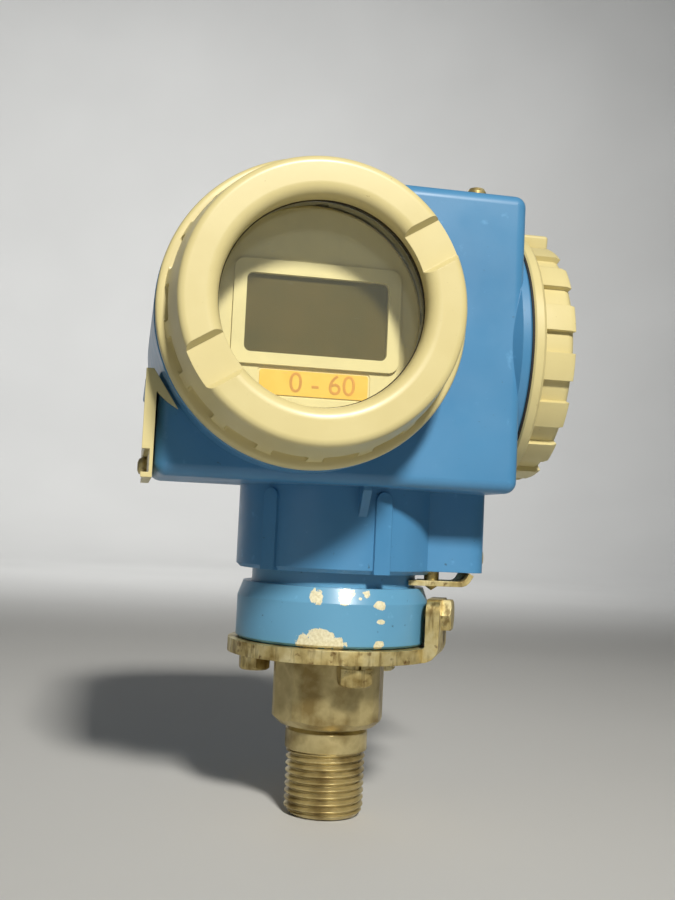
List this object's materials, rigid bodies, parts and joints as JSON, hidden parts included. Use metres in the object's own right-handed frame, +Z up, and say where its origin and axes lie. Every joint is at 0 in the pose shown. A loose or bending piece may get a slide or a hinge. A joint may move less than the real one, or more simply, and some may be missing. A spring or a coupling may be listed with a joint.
{
  "type": "pressure transmitter",
  "caption": "Pressure transmitter: threaded connection, sensor housing, cast two-compartment housing with screw covers, a round display and a side key flap.",
  "frame": {"origin": "centre of the lower end of the process thread, on the connection's axis", "axes": "+Z up along the connection's axis, -Y the way the display looks, +X the way the terminal cover points"},
  "size_m": [0.1099, 0.1035, 0.1662],
  "materials": {
    "steel": "turned and milled, dull with age",
    "diaphragm_steel": "fine turned",
    "board": "matt",
    "lead": "matt",
    "seal_rubber": "matt",
    "plate_zinc": "zinc plated, yellowed",
    "zinc": "zinc plated, dull",
    "blue_paint": "cast aluminium under semi-gloss enamel with chips",
    "cream_paint": "cast aluminium under semi-gloss enamel",
    "black_plastic": "matt moulded",
    "glass": "clear",
    "ring_steel": "turned",
    "bezel_plastic": "matt moulded",
    "lcd": "dark, slightly glossy",
    "label_yellow": "satin film",
    "module_plastic": "matt moulded",
    "brass": "satin",
    "key_plastic": "satin moulded",
    "spring_steel": "drawn wire"
  },
  "bodies": {
    "body": {"process_connection": "steel", "process_diaphragm": "diaphragm_steel", "sensor_capsule": "diaphragm_steel", "sensor_board": "board", "sensor_lead": "lead", "flange_gasket": "seal_rubber", "lock_plate": "plate_zinc", "plate_bolts": "zinc", "plate_washers": "zinc", "arm_bolt": "zinc", "sensor_housing": "blue_paint", "neck_seal": "seal_rubber", "lock_strap": "zinc", "lock_screw": "zinc", "housing": "blue_paint", "side_screw": "zinc", "top_screw": "zinc", "vent_plug": "black_plastic", "display_bezel": "bezel_plastic", "lcd_panel": "lcd", "range_label": "label_yellow", "electronics_module": "module_plastic", "module_screws": "zinc", "feedthrough": "black_plastic", "terminal_block": "black_plastic", "wire_clamps": "brass", "terminal_screws": "zinc", "inner_earth_screw": "brass", "flap_pin": "zinc", "key_plate": "module_plastic", "key_plate_screws": "zinc", "key_zero_spring": "spring_steel", "key_span_spring": "spring_steel", "key_enter_spring": "spring_steel"},
    "display_seal_ring": {"display_cover_seal": "seal_rubber"},
    "display_cover_group": {"display_cover": "cream_paint", "cover_glass": "glass", "glass_seal": "seal_rubber", "glass_retainer": "ring_steel"},
    "terminal_seal_ring": {"terminal_cover_seal": "seal_rubber"},
    "terminal_cover_group": {"terminal_cover": "cream_paint"},
    "flap": {"key_flap": "cream_paint", "flap_screw": "zinc"},
    "zero_key": {"key_zero": "key_plastic"},
    "span_key": {"key_span": "key_plastic"},
    "enter_key": {"key_enter": "key_plastic"}
  },
  "joints": [
    {"name": "display_cover_travel", "type": "slide", "parent": "body", "child": "display_seal_ring", "axis": [0, -1, 0], "range_m": [0, 0.012]},
    {"name": "display_cover_turn", "type": "hinge", "parent": "display_seal_ring", "child": "display_cover_group", "pos_m": [-0.0166, -0.045, 0.1259], "axis": [0, -1, 0], "range_deg": [0, 2160]},
    {"name": "terminal_cover_travel", "type": "slide", "parent": "body", "child": "terminal_seal_ring", "axis": [1, 0, 0], "range_m": [0, 0.012]},
    {"name": "terminal_cover_turn", "type": "hinge", "parent": "terminal_seal_ring", "child": "terminal_cover_group", "pos_m": [0.0416, 0, 0.1259], "axis": [1, 0, 0], "range_deg": [0, 2160]},
    {"name": "flap_hinge", "type": "hinge", "parent": "body", "child": "flap", "pos_m": [-0.05284, 0, 0.1107], "axis": [0, 1, 0], "range_deg": [0, 100]},
    {"name": "key_zero_press", "type": "slide", "parent": "body", "child": "zero_key", "axis": [1, 0, 0], "range_m": [0, 0.001], "stiffness_N_per_m": 300, "deforming": ["key_zero_spring"]},
    {"name": "key_span_press", "type": "slide", "parent": "body", "child": "span_key", "axis": [1, 0, 0], "range_m": [0, 0.001], "stiffness_N_per_m": 300, "deforming": ["key_span_spring"]},
    {"name": "key_enter_press", "type": "slide", "parent": "body", "child": "enter_key", "axis": [1, 0, 0], "range_m": [0, 0.001], "stiffness_N_per_m": 300, "deforming": ["key_enter_spring"]}
  ],
  "couplings": [
    {"joint": "display_cover_travel", "follows": "display_cover_turn", "m_per_rad": 0.00031831},
    {"joint": "terminal_cover_travel", "follows": "terminal_cover_turn", "m_per_rad": 0.00031831}
  ]
}
